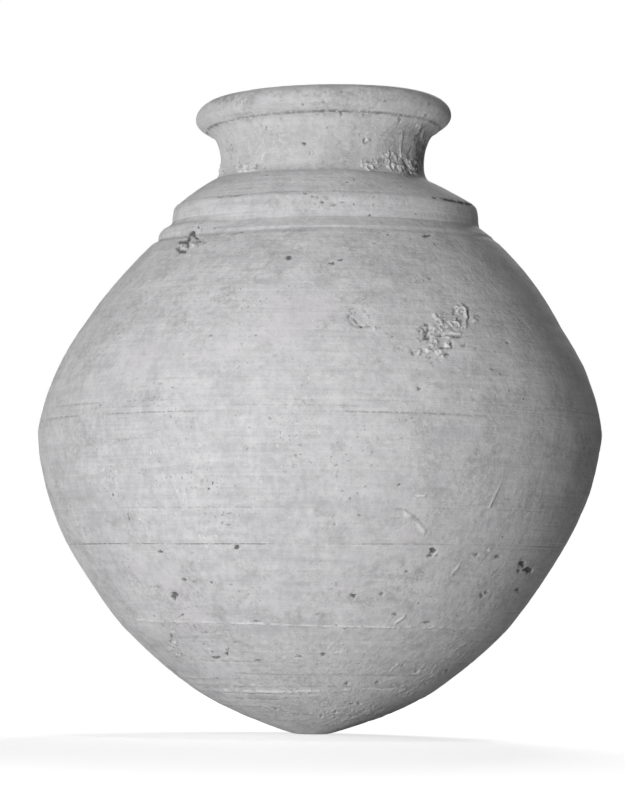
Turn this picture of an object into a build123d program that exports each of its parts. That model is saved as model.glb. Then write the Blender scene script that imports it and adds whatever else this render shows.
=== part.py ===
"""A large clay storage jar with a rolled rim, a short neck and two raised mouldings on its shoulder.

The jar is built as a potter builds one: a pressed plug for the pointed foot, hollow drums stacked
and joined at bevelled edges, a shoulder cap, two applied bands, a neck, and a rolled rim.
Coils of clay are pressed along the inside of the three joins where a firm stage took the next one.
Every piece is a ring about the jar's axis. Z is up, and z = 0 is the small flat that the jar rests on.
"""

from build123d import *
import os
from math import acos, degrees, sqrt

# Foot plug: the solid tip, pressed into shape
FOOT_FLAT_RADIUS = 15.0
PLUG_RADIUS = 108.5
PLUG_RISE = 38.4
PLUG_BULGE = 3.2
FLOOR_THICKNESS = 24.0

# Drums, from the foot up: the radius at the top edge, the rise, and the bulge of the outer face
FOOT_RING_RADIUS = 181.2
FOOT_RING_RISE = 61.8
FOOT_RING_BULGE = 2.6
LOWER_DRUM_RADIUS = 233.5
LOWER_DRUM_RISE = 76.5
LOWER_DRUM_BULGE = 1.6
BELLY_RADIUS = 266.2
LOWER_BELLY_RISE = 106.0
LOWER_BELLY_BULGE = 5.8
UPPER_BELLY_RADIUS = 226.6
UPPER_BELLY_RISE = 99.5
UPPER_BELLY_BULGE = 6.5
SHOULDER_RADIUS = 157.8
SHOULDER_RISE = 85.5
SHOULDER_BULGE = 4.3

# Wall, measured square to the outer face at the top edge of each stage
PLUG_WALL = 17.0
FOOT_RING_WALL = 15.5
LOWER_DRUM_WALL = 14.0
BELLY_WALL = 13.0
UPPER_BELLY_WALL = 12.5
SHOULDER_WALL = 12.0

# Bevelled joins: how far the inner edge of a join stands above its outer edge, along the wall
BEVEL_RISE = 8.0
# The scored line left at the three lowest joins
SCORE_DEPTH = 0.9
SCORE_HALF_WIDTH = 1.1

# Throat, and the wall round it at the neck's foot and top
THROAT_RADIUS = 83.0
NECK_FOOT_WALL = 14.5
NECK_TOP_WALL = 20.5

# Shoulder cap: the cone that carries the bands and the neck
CAP_RISE = 47.0
CAP_SEAT_DROP = 2.5

# Neck: a foot smeared out on the collar, a hollow side, and a bevelled top
NECK_FLARE_OUT = 11.0
NECK_FLARE_RISE = 3.6
NECK_WAIST_OUT = 0.4
NECK_WAIST_RISE = 14.4
NECK_RISE = 55.8
NECK_FLARE_HOLLOW = 1.6
NECK_HOLLOW = 3.9
NECK_BEVEL_RISE = 6.0

# Lower moulding: a small applied band over the join of shoulder and cap
LOWER_BAND_FACE_IN = 2.6
LOWER_BAND_FACE_RISE = 7.0
LOWER_BAND_FACE_BULGE = 0.7
LOWER_BAND_TOP_BULGE = -0.8
ROOT_IN = 12.9
ROOT_RISE = 16.0

# Collar band: the wide upper moulding, which tapers in to the neck
COLLAR_FACE_IN = 1.2
COLLAR_FACE_RISE = 10.2
COLLAR_FACE_BULGE = 0.5
COLLAR_EDGE_IN = 6.2
COLLAR_EDGE_RISE = 16.4
COLLAR_EDGE_BULGE = 1.5
COLLAR_TOP_BULGE = 0.9

# Rolled rim: an oval roll that hangs past the neck
RIM_OVERHANG = 17.8
RIM_HALF_WIDTH = 23.3
RIM_UPPER_HEIGHT = 16.6
RIM_LOWER_HEIGHT = 13.6
THROAT_EDGE_DROP = 11.5
THROAT_EDGE_BULGE = 3.6

# Coils pressed along the inside of the joins
SEAM_COIL_HALF_WIDTH = 17.0
SEAM_COIL_PROUD = 6.0


class Stage:
    """The top edge of one stage of the wall: its outer corner and its wall thickness."""

    def __init__(self, radius, height, wall, scored=False):
        self.outer = Vector(radius, 0, height)
        self.wall = wall
        self.scored = scored

    def aim(self, below, above):
        """Sets the wall's run at this edge from the outer corners of the stages beside it."""
        self.up = ((above - self.outer).normalized() + (self.outer - below).normalized()).normalized()
        self.out = Vector(self.up.Z, 0, -self.up.X)
        self.inner = self.outer - self.out * self.wall + self.up * BEVEL_RISE
        self.score_foot = self.outer - self.out * SCORE_DEPTH


def arc(start, end, bulge):
    """An arc whose middle stands off the straight line by bulge, to the right of start to end."""
    if bulge == 0:
        return Edge.make_line(start, end)
    run = (end - start).normalized()
    middle = (start + end) * 0.5 + Vector(run.Z, 0, -run.X) * bulge
    return Edge.make_three_point_arc(start, middle, end)


def corners(*points):
    """Straight edges from each point to the next."""
    return [Edge.make_line(a, b) for a, b in zip(points, points[1:])]


def turned(edges):
    """The ring that a closed outline sweeps about the jar's axis."""
    return revolve(Face(Wire(edges)), Axis.Z)


# Heights of the stages, added up from the foot
PLUG_TOP = PLUG_RISE
FOOT_RING_TOP = PLUG_TOP + FOOT_RING_RISE
LOWER_DRUM_TOP = FOOT_RING_TOP + LOWER_DRUM_RISE
BELLY_TOP = LOWER_DRUM_TOP + LOWER_BELLY_RISE
UPPER_BELLY_TOP = BELLY_TOP + UPPER_BELLY_RISE
SHOULDER_TOP = UPPER_BELLY_TOP + SHOULDER_RISE
CAP_TOP = SHOULDER_TOP + CAP_RISE
NECK_TOP = CAP_TOP + NECK_RISE

foot_flat = Vector(FOOT_FLAT_RADIUS, 0, 0)
plug = Stage(PLUG_RADIUS, PLUG_TOP, PLUG_WALL, scored=True)
foot_ring = Stage(FOOT_RING_RADIUS, FOOT_RING_TOP, FOOT_RING_WALL, scored=True)
lower_drum = Stage(LOWER_DRUM_RADIUS, LOWER_DRUM_TOP, LOWER_DRUM_WALL, scored=True)
belly = Stage(BELLY_RADIUS, BELLY_TOP, BELLY_WALL)
upper_belly = Stage(UPPER_BELLY_RADIUS, UPPER_BELLY_TOP, UPPER_BELLY_WALL)
shoulder = Stage(SHOULDER_RADIUS, SHOULDER_TOP, SHOULDER_WALL)
cap_seat = Vector(THROAT_RADIUS + NECK_FOOT_WALL, 0, CAP_TOP)
cap_inner = Vector(THROAT_RADIUS, 0, CAP_TOP - CAP_SEAT_DROP)

stages = [plug, foot_ring, lower_drum, belly, upper_belly, shoulder]
edge_run = [foot_flat] + [stage.outer for stage in stages] + [cap_seat]
for below, stage, above in zip(edge_run, stages, edge_run[2:]):
    stage.aim(below, above)


def outer_face(lower, upper, bulge):
    """The outer face from one stage's edge to the next, with half of each scored line."""
    face = arc(lower.outer, upper.outer, bulge)
    margin = SCORE_HALF_WIDTH / face.length
    if lower.scored or upper.scored:
        face = face.trim(margin if lower.scored else 0, 1 - margin if upper.scored else 1)
    below = corners(lower.score_foot, face @ 0) if lower.scored else []
    above = corners(face @ 1, upper.score_foot) if upper.scored else []
    return below + [face] + above


def join_foot(stage):
    """Where a join starts on the outside: the bottom of its scored line, or the wall's own corner."""
    return stage.score_foot if stage.scored else stage.outer


def inner_face(lower, upper, bulge):
    """The inner face between two joins, which follows the outer face's bulge."""
    return arc(lower.inner, upper.inner, bulge)


def drum(lower, upper, bulge):
    """A hollow stage of the wall between two bevelled joins."""
    top = corners(join_foot(upper), upper.inner)
    bottom = corners(lower.inner, join_foot(lower))
    return turned(outer_face(lower, upper, bulge) + top + [inner_face(lower, upper, bulge)] + bottom)


def foot_plug():
    """The pointed foot: a small flat, a shallow bulging cone, and a floor dished like a bowl."""
    centre = Vector(0, 0, 0)
    floor = Vector(0, 0, FLOOR_THICKNESS)
    face = arc(foot_flat, plug.outer, PLUG_BULGE)
    face = face.trim(0, 1 - SCORE_HALF_WIDTH / face.length)
    outside = [face] + corners(face @ 1, plug.score_foot, plug.inner)
    dish = Edge.make_tangent_arc(floor, Vector(1, 0, 0), plug.inner)
    return turned(corners(centre, foot_flat) + outside + [dish] + corners(floor, centre))


def shoulder_cap():
    """The straight cone under the mouldings, from the shoulder in to the neck's seat."""
    return turned(corners(shoulder.outer, cap_seat, cap_inner, shoulder.inner, shoulder.outer))


root = shoulder.outer + Vector(-ROOT_IN, 0, ROOT_RISE)
root_share = ROOT_IN / (shoulder.outer.X - cap_seat.X)
root_seat = shoulder.outer + (cap_seat - shoulder.outer) * root_share
flare = cap_seat + Vector(NECK_FLARE_OUT, 0, NECK_FLARE_RISE)


def lower_moulding():
    """The small rounded band at the foot of the collar, seated on the cap."""
    crest = shoulder.outer + Vector(-LOWER_BAND_FACE_IN, 0, LOWER_BAND_FACE_RISE)
    face = arc(shoulder.outer, crest, LOWER_BAND_FACE_BULGE)
    top = arc(crest, root, LOWER_BAND_TOP_BULGE)
    return turned([face, top] + corners(root, root_seat, shoulder.outer))


def collar_band():
    """The wide band above it: an upright face, a rounded edge, and a top that slopes to the neck."""
    head = root + Vector(-COLLAR_FACE_IN, 0, COLLAR_FACE_RISE)
    edge = root + Vector(-COLLAR_EDGE_IN, 0, COLLAR_EDGE_RISE)
    face = [arc(root, head, COLLAR_FACE_BULGE), arc(head, edge, COLLAR_EDGE_BULGE)]
    top = [arc(edge, flare, COLLAR_TOP_BULGE)]
    return turned(face + top + corners(flare, cap_seat, root_seat, root))


neck_outer_top = Vector(THROAT_RADIUS + NECK_TOP_WALL, 0, NECK_TOP)
neck_inner_top = Vector(THROAT_RADIUS, 0, NECK_TOP + NECK_BEVEL_RISE)


def neck():
    """The hollow-sided neck, with a foot smeared out on the collar and a straight throat inside."""
    waist = cap_seat + Vector(NECK_WAIST_OUT, 0, NECK_WAIST_RISE)
    side = [arc(flare, waist, -NECK_FLARE_HOLLOW), arc(waist, neck_outer_top, -NECK_HOLLOW)]
    inside = corners(neck_outer_top, neck_inner_top, cap_inner, cap_seat, flare)
    return turned(side + inside)


# The roll's own oval, wider below: its underside starts at the neck's outer top corner
under_share = (RIM_HALF_WIDTH - RIM_OVERHANG) / RIM_HALF_WIDTH
roll_centre = Vector(
    neck_outer_top.X + RIM_OVERHANG - RIM_HALF_WIDTH,
    0,
    NECK_TOP + RIM_LOWER_HEIGHT * sqrt(1 - under_share**2),
)
RIM_TOP = roll_centre.Z + RIM_UPPER_HEIGHT


def oval(height, start, end):
    """A stretch of an oval about the roll's centre, between two angles counted up from its widest point."""
    upright = Plane(roll_centre, x_dir=(1, 0, 0), z_dir=(0, -1, 0))
    return Edge.make_ellipse(RIM_HALF_WIDTH, height, upright, start_angle=start, end_angle=end)


def rim_roll():
    """The rolled rim: an oval roll from the neck's top corner to its crest, and an eased throat edge."""
    under = oval(RIM_LOWER_HEIGHT, -degrees(acos(under_share)), 0)
    over = oval(RIM_UPPER_HEIGHT, 0, 90)
    throat_edge = Vector(THROAT_RADIUS, 0, RIM_TOP - THROAT_EDGE_DROP)
    eased = arc(over @ 1, throat_edge, THROAT_EDGE_BULGE)
    return turned([under, over, eased] + corners(throat_edge, neck_inner_top, under @ 0))


def seam_coil(lower, joint, upper, lower_bulge, upper_bulge):
    """A flattened coil pressed along the inside of a join, seated on both of the faces it spans."""
    below = inner_face(lower, joint, lower_bulge)
    above = inner_face(joint, upper, upper_bulge)
    below = below.trim(1 - SEAM_COIL_HALF_WIDTH / below.length, 1)
    above = above.trim(0, SEAM_COIL_HALF_WIDTH / above.length)
    start = below @ 0
    end = above @ 1
    chord = (end - start).normalized()
    crown = joint.inner + Vector(-chord.Z, 0, chord.X) * SEAM_COIL_PROUD
    return turned([below, above, Edge.make_three_point_arc(end, crown, start)])


pieces = {
    "foot_plug": foot_plug(),
    "foot_ring": drum(plug, foot_ring, FOOT_RING_BULGE),
    "lower_drum": drum(foot_ring, lower_drum, LOWER_DRUM_BULGE),
    "lower_belly_drum": drum(lower_drum, belly, LOWER_BELLY_BULGE),
    "upper_belly_drum": drum(belly, upper_belly, UPPER_BELLY_BULGE),
    "shoulder_drum": drum(upper_belly, shoulder, SHOULDER_BULGE),
    "shoulder_cap": shoulder_cap(),
    "lower_moulding": lower_moulding(),
    "collar_band": collar_band(),
    "neck": neck(),
    "rim_roll": rim_roll(),
    "lower_seam_coil": seam_coil(foot_ring, lower_drum, belly, LOWER_DRUM_BULGE, LOWER_BELLY_BULGE),
    "belly_seam_coil": seam_coil(lower_drum, belly, upper_belly, LOWER_BELLY_BULGE, UPPER_BELLY_BULGE),
    "shoulder_seam_coil": seam_coil(belly, upper_belly, shoulder, UPPER_BELLY_BULGE, SHOULDER_BULGE),
}

os.makedirs("parts", exist_ok=True)
for name, piece in pieces.items():
    export_step(piece, f"parts/{name}.step")
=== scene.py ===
"""A large clay storage jar with a pointed foot, two shoulder mouldings, a short neck and a rolled rim.

Every ring of the jar is a piece of its own, as a potter builds such a jar, and stands for its CAD node.
"""

import math

import bpy
import numpy as np
from mathutils import Matrix, Vector


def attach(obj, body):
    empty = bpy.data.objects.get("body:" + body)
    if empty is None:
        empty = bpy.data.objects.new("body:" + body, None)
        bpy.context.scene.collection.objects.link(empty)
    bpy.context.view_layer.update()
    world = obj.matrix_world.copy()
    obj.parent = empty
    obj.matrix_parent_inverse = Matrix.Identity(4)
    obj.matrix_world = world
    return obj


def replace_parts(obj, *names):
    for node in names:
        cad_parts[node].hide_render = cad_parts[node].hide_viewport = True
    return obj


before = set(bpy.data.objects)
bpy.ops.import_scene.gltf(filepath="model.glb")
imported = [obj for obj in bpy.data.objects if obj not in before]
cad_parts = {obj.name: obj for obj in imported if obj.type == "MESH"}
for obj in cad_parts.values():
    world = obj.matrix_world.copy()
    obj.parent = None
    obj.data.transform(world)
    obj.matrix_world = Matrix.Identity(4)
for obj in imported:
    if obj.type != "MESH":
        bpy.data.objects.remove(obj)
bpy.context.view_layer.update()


# The camera stands where the photographer's stood: 3.5 m from the jar and low, tilted up a little,
# and turned about its own line of sight, so that the jar leans to the right.
MM = 0.001
PIXEL = 0.947 * MM
FRAME_WIDTH = 625
FRAME_HEIGHT = 800
FOCAL_PIXELS = 3707
SENSOR_WIDTH = 36.0
CAMERA_PLACE = (-8.4 * PIXEL, -3700 * PIXEL, 104.6 * PIXEL)
CAMERA_PITCH = math.radians(3.53)
CAMERA_ROLL = math.radians(0.92)

camera_data = bpy.data.cameras.new("photo_camera")
camera_data.sensor_width = SENSOR_WIDTH
camera_data.lens = SENSOR_WIDTH * FOCAL_PIXELS / FRAME_HEIGHT
camera = bpy.data.objects.new("photo_camera", camera_data)
bpy.context.scene.collection.objects.link(camera)
bpy.context.scene.camera = camera
aim = Matrix.Rotation(math.pi / 2 + CAMERA_PITCH, 4, "X") @ Matrix.Rotation(CAMERA_ROLL, 4, "Z")
camera.matrix_world = Matrix.Translation(CAMERA_PLACE) @ aim


# The wall of the jar: a pressed foot plug and five thrown drums of coarse pale clay, joined at
# bevelled edges while damp. The outside was turned and wiped as one on the wheel, so that only
# scored lines, turning lines, pits and chips are left on it.
COLUMNS = 680
FRONT_CROWDING = 0.5
FINE_STEP = 0.5 * MM
OUTER_STEP = 1.0 * MM
INNER_STEP = 6.0 * MM
CORNER_EASE = 9 * MM
# How many fine steps from its ends a face is raised only outwards from the axis
END_STEPS = 8
FOOT_FLAT_RADIUS = 15 * MM
FLOOR_THICKNESS = 24 * MM
FLOOR_BULGE = 8.5 * MM
# Each drum's top edge in millimetres: outer radius and height, the bulge of its wall, and its
# inner radius and height
DRUMS = {
    "foot_plug": (108.5, 38.4, 3.2, 106.5, 57.1),
    "foot_ring": (181.2, 100.2, 2.6, 175.0, 116.5),
    "lower_drum": (233.5, 176.7, 1.6, 224.4, 190.0),
    "lower_belly_drum": (266.2, 282.7, 5.8, 252.9, 290.2),
    "upper_belly_drum": (226.6, 382.2, 6.5, 211.8, 382.8),
    "shoulder_drum": (157.8, 467.7, 4.3, 143.7, 464.8),
}
drum_names = list(DRUMS)
# The two scored joins, by the drum below each: share of the scored depth, dirt and chalk in it.
# On the right they are partly worn off
SCORED = {"foot_plug": (0.6, 0.3, 0.1), "lower_drum": (0.9, 0.55, 0)}
SCORE_DEPTH = 0.6 * MM
SCORE_HALF_WIDTH = 1.1 * MM
SCORE_WORN = 0.35
# How far the jar strays from a true turned one, by height: sideways in millimetres, and the slopes
# by which a level line dips towards the front and climbs towards the right
STRAYS = (
    (0, -4.5, 0, 0),
    (45, -3.3, 0, 0),
    (80, -2.4, 0, 0.004),
    (170, -2.4, 0.014, 0.012),
    (260, -0.9, 0, 0.006),
    (350, 1.9, 0, 0),
    (380, 1.8, 0, 0),
    (465, 2.0, 0.018, 0.02),
    (498, 1.5, 0.022, 0.02),
    (520, -0.8, -0.006, 0.004),
    (532, -1.8, -0.006, 0),
    (558, -1.9, -0.014, 0.012),
    (572, -1.5, -0.04, 0.03),
    (588, -1.3, -0.022, 0.033),
    (620, -1.2, -0.012, 0.033),
)
STRAY_EASE = 10 * MM


def bowed(start, end, bulge):
    """Points of a shallow arc: the straight line plus 4 t (1 - t) times the bulge, to its right."""
    start, end = np.array(start, float), np.array(end, float)
    chord = end - start
    length = np.hypot(*chord)
    t = np.linspace(0, 1, max(2, round(length / FINE_STEP) + 1))[:, None]
    return start + t * chord + 4 * t * (1 - t) * bulge * np.array((chord[1], -chord[0])) / length


def joined(stretches):
    """One run of points from stretches that each start where the last ended, and the places of
    those ends in it."""
    ends = np.cumsum([len(stretch) - 1 for stretch in stretches])
    points = [stretch[:-1] for stretch in stretches] + [stretches[-1][-1:]]
    return np.concatenate(points), np.concatenate([[0], ends])


def curved(corners, bulges):
    """An outline of shallow arcs from corner to corner, and the places of the corners in it."""
    return joined([bowed(*stretch) for stretch in zip(corners, corners[1:], bulges)])


def eased(points, reach):
    """Each point becomes the mean of its neighbours within reach, weighted by a raised cosine."""
    half = max(1, round(reach / FINE_STEP))
    window = np.hanning(2 * half + 3)[1:-1]
    padded = np.pad(points, ((half, half), (0, 0)), "reflect", reflect_type="odd")
    return np.stack([np.convolve(column, window / window.sum(), "valid") for column in padded.T], 1)


stray_table = np.array(STRAYS) * (MM, MM, 1, 1)
stray_heights = np.arange(0, stray_table[-1, 0], FINE_STEP)
stray_columns = [np.interp(stray_heights, stray_table[:, 0], column) for column in stray_table.T[1:]]
stray_run = eased(np.stack(stray_columns, 1), STRAY_EASE)


def strays(places):
    """How far the jar's clay has moved from a true turned place (x, y, z): sideways by the sway at
    that height, and down or up by the dip slope times y plus the tilt slope times x."""
    sway, dip, tilt = (np.interp(places[..., 2], stray_heights, column) for column in stray_run.T)
    return np.stack([sway, 0 * sway, dip * places[..., 1] + tilt * places[..., 0]], -1)


def smooth_step(share):
    """Nought below 0, one above 1, and 3 t^2 - 2 t^3 between."""
    t = np.clip(share, 0, 1)
    return t * t * (3 - 2 * t)


LATTICE_SIZE = 64
LATTICE_START = 1000


def noise(places, cell, seed):
    """Soft lumps in space from -1 to 1: random values on a cubic lattice with this cell, blended
    between the eight corners round a place with the weights 3 t^2 - 2 t^3."""
    lattice = np.random.default_rng(seed).uniform(-1, 1, (LATTICE_SIZE,) * 3)
    steps = places / cell + LATTICE_START
    low = np.floor(steps).astype(np.int32)
    t = smooth_step(steps - low)
    value = np.zeros(places.shape[:-1])
    for corner in np.ndindex(2, 2, 2):
        weight = np.prod(np.where(corner, t, 1 - t), axis=-1)
        i, j, k = np.moveaxis((low + corner) % LATTICE_SIZE, -1, 0)
        value += weight * lattice[i, j, k]
    return value


OUT_OF_REACH = 1e6
camera_axes = np.array(camera.matrix_world)[:3, :3]


def in_photograph(places, normals):
    """Where the camera sees places on the jar, in the photograph's pixels: the camera's axes give how
    far a place is to the right, up and back, and the focal length over its distance scales that. A
    place on a side turned away from the camera is put out of reach."""
    sight = places + strays(places) - np.array(CAMERA_PLACE)
    right, up, back = np.moveaxis(sight @ camera_axes, -1, 0)
    across = FRAME_WIDTH / 2 - FOCAL_PIXELS * right / back
    down = FRAME_HEIGHT / 2 + FOCAL_PIXELS * up / back
    pixels = np.stack([across, down], -1)
    pixels[(sight * normals).sum(-1) > 0] = OUT_OF_REACH
    return pixels


EVERYWHERE = np.s_[:, :]
# The ragged edge of a mark: where it starts and how wide it is, in half widths of the mark, and
# the noise's cell as a share of the mark's smaller half width
RAGGED_START = 1.2
RAGGED_WIDTH = 0.75
RAGGED_CELL = 0.55
FINEST_CELL = 1.2 * MM
# How ragged the edge of a pit, of a crust and of a place of painted light is
RAGGED_PIT = 0.6
RAGGED_CRUST = 0.8
RAGGED_PAINTED_LIGHT = 0.3
# The most darkening, dirt and painted shade, that the gaps between a crust's crumbs and round its edge
# get on a crust of pure lime
CRUST_GAP_DIRT_AND_SHADE = 0.42
# The unevenness of hand work: broad lumps, the wheel's level rings, and coarse grain. Each is a
# noise: its rise and cell in millimetres, and a factor on x and y, which draws it out into rings
WHEEL_MARKS = ((0.9, 110, 1), (0.35, 38, 1), (0.22, 15, 0.12), (0.11, 5, 0.12), (0.07, 5, 1))
WHEEL_SEED = 21


class Skin:
    """One turned face of the jar, as rows of places round the axis, with what wear does to each:
    how far it is raised along the face's normal, and its shares of dirt, which also carries painted
    shade, and of chalky crust, which also carries painted light. The places are closer together in
    front: even turns less the crowding times their sine."""

    def __init__(self, outline, outward):
        turn = np.linspace(-np.pi, np.pi, COLUMNS, endpoint=False)
        turn = turn - FRONT_CROWDING * np.sin(turn)
        round_axis = np.stack([np.sin(turn), -np.cos(turn), 0 * turn], 1)
        up = np.array((0, 0, 1))
        self.places = outline[:, None, :1] * round_axis + outline[:, None, 1:] * up
        self.normals = outward[:, None, :1] * round_axis + outward[:, None, 1:] * up
        self.raised, self.dirt, self.chalk = np.zeros((3, *self.places.shape[:2]))

    def look(self):
        """Notes where the camera sees each place, once the face has its shape."""
        self.pixels = in_photograph(self.places, self.normals)

    def ragged(self, near, distance, cell, raggedness, seed):
        """The places near a mark and their shares of it: one inside it and nought outside, over an
        edge that a noise makes ragged. The distance is from its middle, in half widths."""
        rough = noise(self.places[near], max(cell, FINEST_CELL), seed)
        return near, smooth_step((RAGGED_START - distance + raggedness * rough) / RAGGED_WIDTH)

    def spot(self, left, top, half_width, half_height, raggedness, seed):
        """The shares of an oval of the photograph, with its sizes in pixels, as it looks there."""
        across = (self.pixels[..., 0] - left) / half_width
        down = (self.pixels[..., 1] - top) / half_height
        near = np.nonzero((np.abs(across) < 2) & (np.abs(down) < 2))
        cell = RAGGED_CELL * min(half_width, half_height) * PIXEL
        return self.ragged(near, np.hypot(across[near], down[near]), cell, raggedness, seed)

    def patch(self, centre, half_width, half_height, raggedness, seed):
        """The same for an oval round a place on any side, with its sizes in metres round the jar and
        along its wall."""
        away = self.places - centre
        level = np.array((-centre[1], centre[0], 0)) / np.hypot(centre[0], centre[1])
        near = np.nonzero(np.abs(away).max(-1) < 2 * max(half_width, half_height))
        across = away[near] @ level
        along = np.sqrt(np.maximum((away[near] ** 2).sum(-1) - across**2, 0))
        distance = np.hypot(across / half_width, along / half_height)
        return self.ragged(near, distance, RAGGED_CELL * min(half_width, half_height), raggedness, seed)

    def mark(self, near, rise, dirt=0, chalk=0):
        """Raises places, and gives them at least these shares of dirt and chalk."""
        self.raised[near] += rise
        self.dirt[near] = np.maximum(self.dirt[near], dirt)
        self.chalk[near] = np.maximum(self.chalk[near], chalk)

    def pit(self, spot, depth, dirt):
        """A ragged hollow, darkened in its dirt share by dirt and painted shade."""
        near, share = spot
        self.mark(near, -depth * share, dirt * share)

    def crust(self, spot, rise, chalk, crumb, seed):
        """A raised, rough patch of pale lime, thickest in crumbs, with dirt and painted shade between
        them and round its edge.
        """
        near, share = spot
        crumbs = smooth_step(0.6 + 1.4 * noise(self.places[near], crumb, seed))
        height = rise * share * (0.25 + 0.75 * crumbs)
        gaps = 2.5 * share * (1 - share) + share * (1 - crumbs)
        self.dirt[near] *= 1 - share * crumbs
        held_dirt_and_shade = CRUST_GAP_DIRT_AND_SHADE * chalk * gaps.clip(0, 1)
        self.mark(near, height, held_dirt_and_shade, chalk * share * (0.3 + 0.7 * crumbs))

    def line(self, path, half_width, depth, dirt, chalk, seed):
        """A scratch along a path of the photograph's pixels, uneven along its length. Its share of a
        place falls evenly with the distance to the nearest stretch of the path, in half widths."""
        path = np.array(path, float)
        low, high = path.min(0) - 2 * half_width, path.max(0) + 2 * half_width
        near = np.nonzero(((self.pixels > low) & (self.pixels < high)).all(-1))
        seen = self.pixels[near]
        nearest = np.full(len(seen), np.inf)
        for start, end in zip(path, path[1:]):
            run = end - start
            t = np.clip((seen - start) @ run / (run @ run), 0, 1)
            nearest = np.minimum(nearest, np.linalg.norm(seen - start - t[:, None] * run, axis=-1))
        nearest *= 1 + 0.5 * noise(self.places[near], 2.5 * MM, seed + 1)
        uneven = smooth_step(0.8 + 0.8 * noise(self.places[near], 6 * MM, seed))
        share = np.clip(RAGGED_START - nearest / half_width, 0, 1) * uneven
        self.mark(near, -depth * share, dirt * share, chalk * share)

    def turning_line(self, height, half_width, depth, dirt, chalk, seed):
        """A line that a tool left all round at one height, stronger and fainter as it goes."""
        share = np.clip(1 - np.abs(self.places[..., 2] - height) / half_width, 0, 1)
        rows = np.flatnonzero(share.max(1) > 0)
        share = share[rows]
        fade = smooth_step(0.6 + 0.9 * noise(self.places[rows], 55 * MM, seed))
        self.mark(rows, -depth * share * fade, dirt * share * fade, chalk * share * fade)

    def wheel_marks(self, amount=1):
        """Raises the face by the unevenness of hand work: the sum of its noises."""
        height = 0
        for number, (rise, cell, factor) in enumerate(WHEEL_MARKS):
            places = self.places * (factor, factor, 1)
            height = height + rise * MM * noise(places, cell * MM, WHEEL_SEED + number)
        self.raised += amount * height

    def pressed(self):
        """The finished face: rows of x, y, z, dirt and chalk, with the wear and the jar's strays in."""
        places = self.places + self.normals * self.raised[..., None]
        places = places + strays(places)
        return np.concatenate([places, self.dirt[..., None], self.chalk[..., None]], -1)


def outward_of(outline):
    """The unit normals of an outline that runs up the outside: its run turned a quarter to the right."""
    run = np.gradient(outline, axis=0)
    run /= np.maximum(np.hypot(run[:, 0], run[:, 1]), 1e-9)[:, None]
    return np.stack([run[:, 1], -run[:, 0]], 1)


def bridged(start, end, count=3):
    """Rows that go straight from one row of places to another, both ends included."""
    t = np.linspace(0, 1, count)[:, None, None]
    return start[None] * (1 - t) + end[None] * t


def ring_piece(name, runs, material, poles=False):
    """A closed mesh from runs of rows that follow each other round the section of a turned piece,
    up the outside and down the inside. Where two runs meet there is a sharp edge. With poles, the
    first and last rows are points on the axis, which close the mesh with fans."""
    grid = np.concatenate([run[:-1] for run in runs] + ([runs[-1][-1:]] if poles else []))
    corners = np.cumsum([len(run) - 1 for run in runs])[:-1]
    if poles:
        tips = np.stack([grid[0].mean(0), grid[-1].mean(0)])
        grid = grid[1:-1]
        corners = corners - 1
    else:
        corners = np.append(corners, 0)
    rows, columns = grid.shape[:2]
    points = grid.reshape(-1, grid.shape[-1])
    index = np.arange(rows * columns).reshape(rows, columns)
    lower = index[:-1] if poles else index
    upper = index[1:] if poles else np.roll(index, -1, 0)
    quads = np.stack([lower, np.roll(lower, -1, 1), np.roll(upper, -1, 1), upper], -1).reshape(-1)
    sizes = np.full(len(quads) // 4, 4)
    if poles:
        foot, head = rows * columns, rows * columns + 1
        points = np.concatenate([points, tips])
        foot_fan = np.stack([np.full(columns, foot), np.roll(index[0], -1), index[0]], 1)
        head_fan = np.stack([np.full(columns, head), index[-1], np.roll(index[-1], -1)], 1)
        quads = np.concatenate([quads, foot_fan.reshape(-1), head_fan.reshape(-1)])
        sizes = np.concatenate([sizes, np.full(2 * columns, 3)])
    mesh = bpy.data.meshes.new(name)
    mesh.vertices.add(len(points))
    mesh.vertices.foreach_set("co", points[:, :3].astype(np.float32).ravel())
    mesh.loops.add(len(quads))
    mesh.loops.foreach_set("vertex_index", quads.astype(np.int32))
    mesh.polygons.add(len(sizes))
    mesh.polygons.foreach_set("loop_start", (np.cumsum(sizes) - sizes).astype(np.int32))
    mesh.update(calc_edges=True)
    mesh.polygons.foreach_set("use_smooth", np.ones(len(sizes), bool))
    ends = np.empty(2 * len(mesh.edges), np.int32)
    mesh.edges.foreach_get("vertices", ends)
    rows_of = ends.reshape(-1, 2) // columns
    level = rows_of[:, 0] == rows_of[:, 1]
    mesh.edges.foreach_set("use_edge_sharp", level & np.isin(rows_of[:, 0], corners))
    # The dirt share also carries painted shade, and the chalk share carries painted light
    for channel, attribute in ((3, "dirt"), (4, "chalk")):
        values = mesh.attributes.new(attribute, "FLOAT", "POINT")
        values.data.foreach_set("value", points[:, channel].astype(np.float32))
    mesh.materials.append(material)
    piece = bpy.data.objects.new(name, mesh)
    bpy.context.scene.collection.objects.link(piece)
    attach(piece, "root")
    return piece


def node(tree, kind, sockets=(), **options):
    """A shader node with its options and sockets set. A socket given an output is linked to it."""
    made = tree.nodes.new(kind)
    for name, value in options.items():
        setattr(made, name, value)
    for name, value in dict(sockets).items():
        if isinstance(value, bpy.types.NodeSocket):
            tree.links.new(value, made.inputs[name])
        else:
            made.inputs[name].default_value = value
    return made


def maths(tree, operation, *values):
    """The result of one operation of a Math node on two or three values or outputs."""
    return node(tree, "ShaderNodeMath", dict(enumerate(values)), operation=operation).outputs[0]


# The colour sockets of a Mix node, by number
MIX_UNDER = 6
MIX_OVER = 7
MIX_RESULT = 2
SMUT_GREY = (0.33, 0.33, 0.33, 1)
FLECK_GREY = (0.2, 0.2, 0.2, 1)
# Painted shade in the pinholes
PINHOLE_SHADE_GREY = (0.12, 0.12, 0.12, 1)
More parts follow.
